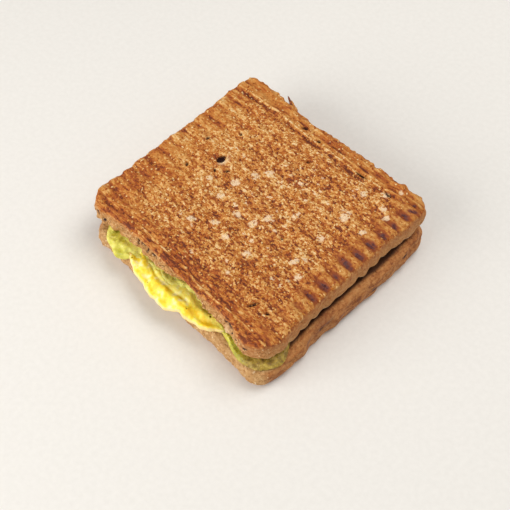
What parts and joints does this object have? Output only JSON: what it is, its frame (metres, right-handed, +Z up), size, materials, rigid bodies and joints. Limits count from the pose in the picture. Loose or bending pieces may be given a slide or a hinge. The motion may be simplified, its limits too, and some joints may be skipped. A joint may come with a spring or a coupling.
{
  "type": "avocado and egg toasted sandwich",
  "caption": "Pressed toasted sandwich with ribbed bread, egg hanging out at one side and mashed avocado peeping out.",
  "frame": {"origin": "bottom centre of the whole sandwich's bounding box, on the surface it rests on", "axes": "+X along the ribs and along the side where the filling shows, which faces -Y; +Z up"},
  "size_m": [0.127, 0.1242, 0.0293],
  "materials": {
    "toasted_crust": "toasted wholemeal bread, dry and matte, with pressed ribs",
    "lower_crust": "toasted bread crust, dry and matte",
    "cooked_egg": "cooked egg, moist and softly glossy",
    "mashed_avocado": "mashed avocado, moist and softly glossy"
  },
  "bodies": {
    "root": {"bread_top": "toasted_crust", "bread_bottom": "lower_crust", "egg": "cooked_egg", "avocado": "mashed_avocado"}
  },
  "joints": []
}
